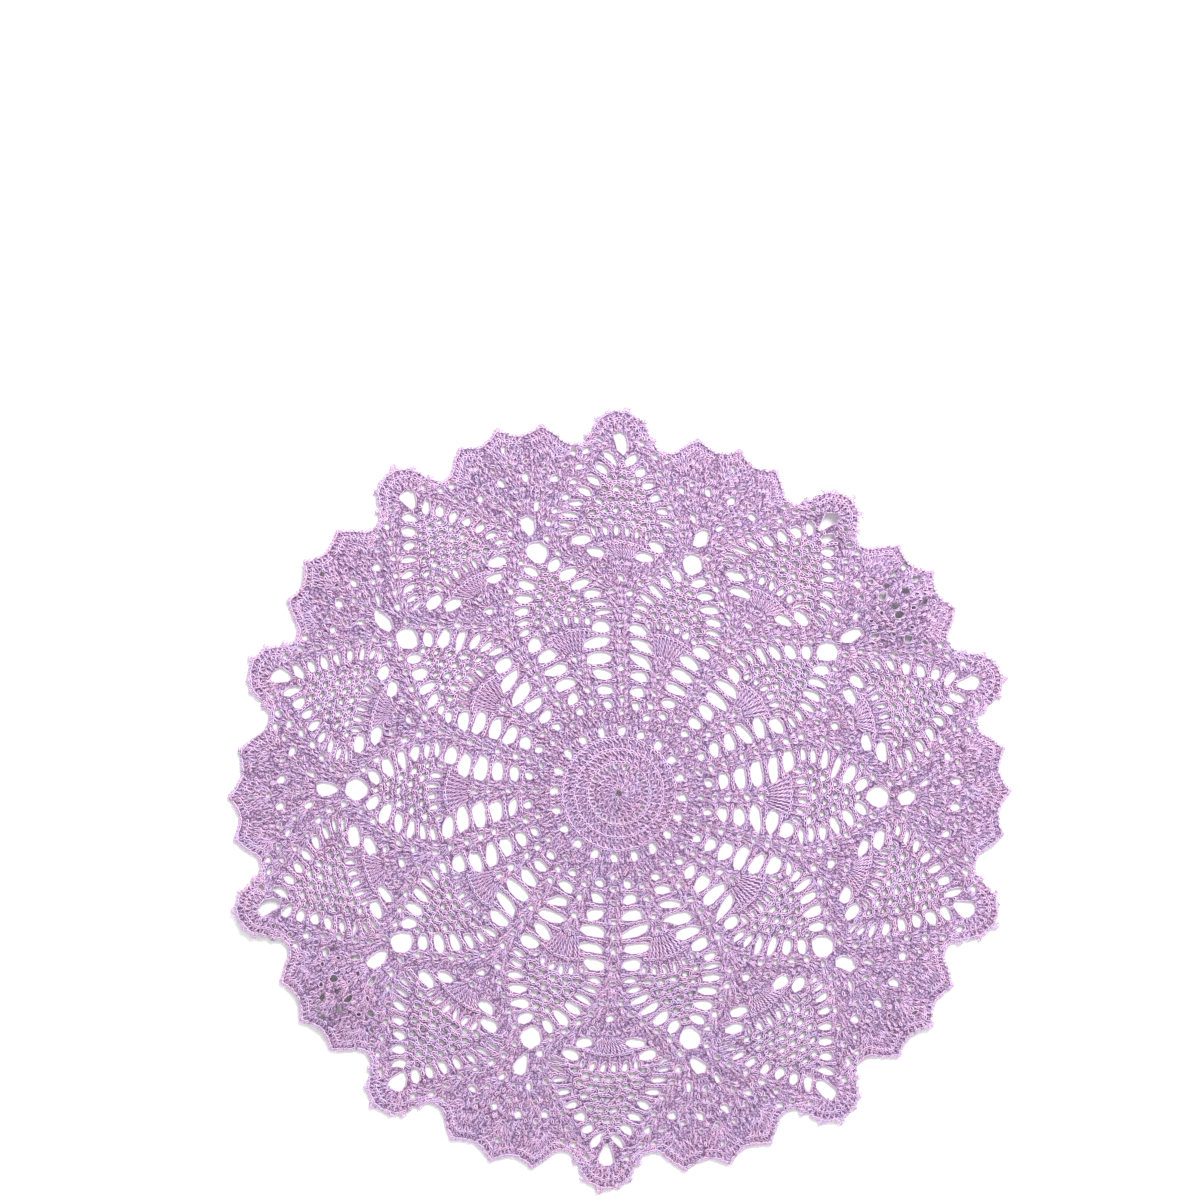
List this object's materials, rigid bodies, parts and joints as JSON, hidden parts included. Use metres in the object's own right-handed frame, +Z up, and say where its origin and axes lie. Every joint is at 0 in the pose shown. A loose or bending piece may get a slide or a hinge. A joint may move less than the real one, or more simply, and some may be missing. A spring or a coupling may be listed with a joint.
{
  "type": "lace doily",
  "caption": "Flat round crocheted lace doily with an openwork pineapple pattern and a pointed, scalloped rim that ruffles slightly.",
  "frame": {"origin": "middle of the flat outline, on the surface that the doily lies on", "axes": "+Z up out of the lace's right side, +Y towards the point at the picture's top, +X to the picture's right"},
  "size_m": [0.3962, 0.3984, 0.0069],
  "materials": {
    "cotton": "matt twisted lilac cotton thread with paler, darker and pinker flecks"
  },
  "bodies": {
    "root": {"doily": "cotton"}
  },
  "joints": []
}
